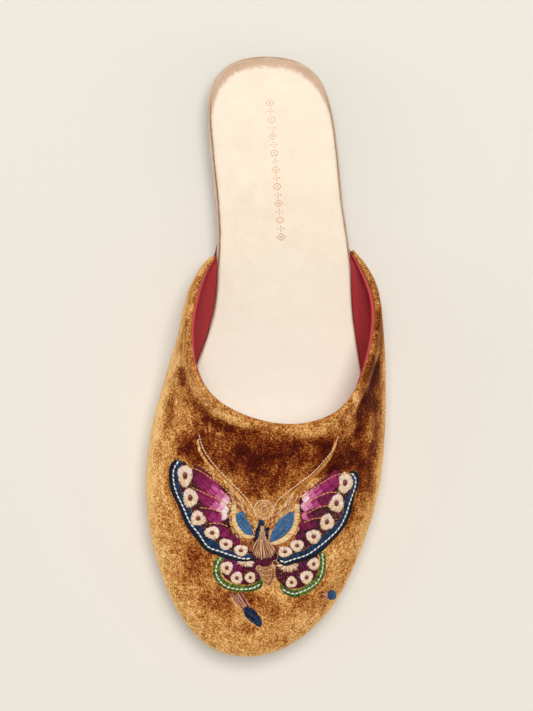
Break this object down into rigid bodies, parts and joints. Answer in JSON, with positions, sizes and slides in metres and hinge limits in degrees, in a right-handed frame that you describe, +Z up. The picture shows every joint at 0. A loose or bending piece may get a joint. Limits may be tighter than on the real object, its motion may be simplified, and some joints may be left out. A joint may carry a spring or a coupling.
{
  "type": "babouche slipper",
  "caption": "Backless velvet slipper with a round almond toe, embroidered vamp, padded metallic insole and low flat heel.",
  "frame": {"origin": "on the floor under the middle of the shoe's bounding box", "axes": "+Z up, the toe points along -Y, the heel along +Y, +X towards the outer (little-toe) side"},
  "size_m": [0.1022, 0.2566, 0.0557],
  "materials": {
    "heel_leather": "dark stacked leather, waxed edge",
    "sole_leather": "smooth tan sole leather with a dark waxed edge",
    "wrap_leather": "rose-gold metallic leather",
    "insole_leather": "rose-gold metallic leather, fine grain",
    "velvet": "crushed bronze velvet",
    "lining_leather": "crimson kid leather lining",
    "embroidery": "glossy satin-stitch thread in several colours",
    "foil": "gold foil stamped in leather"
  },
  "bodies": {
    "root": {"heel": "heel_leather", "outsole": "sole_leather", "midsole": "wrap_leather", "insole": "insole_leather", "upper": "velvet"}
  },
  "joints": []
}
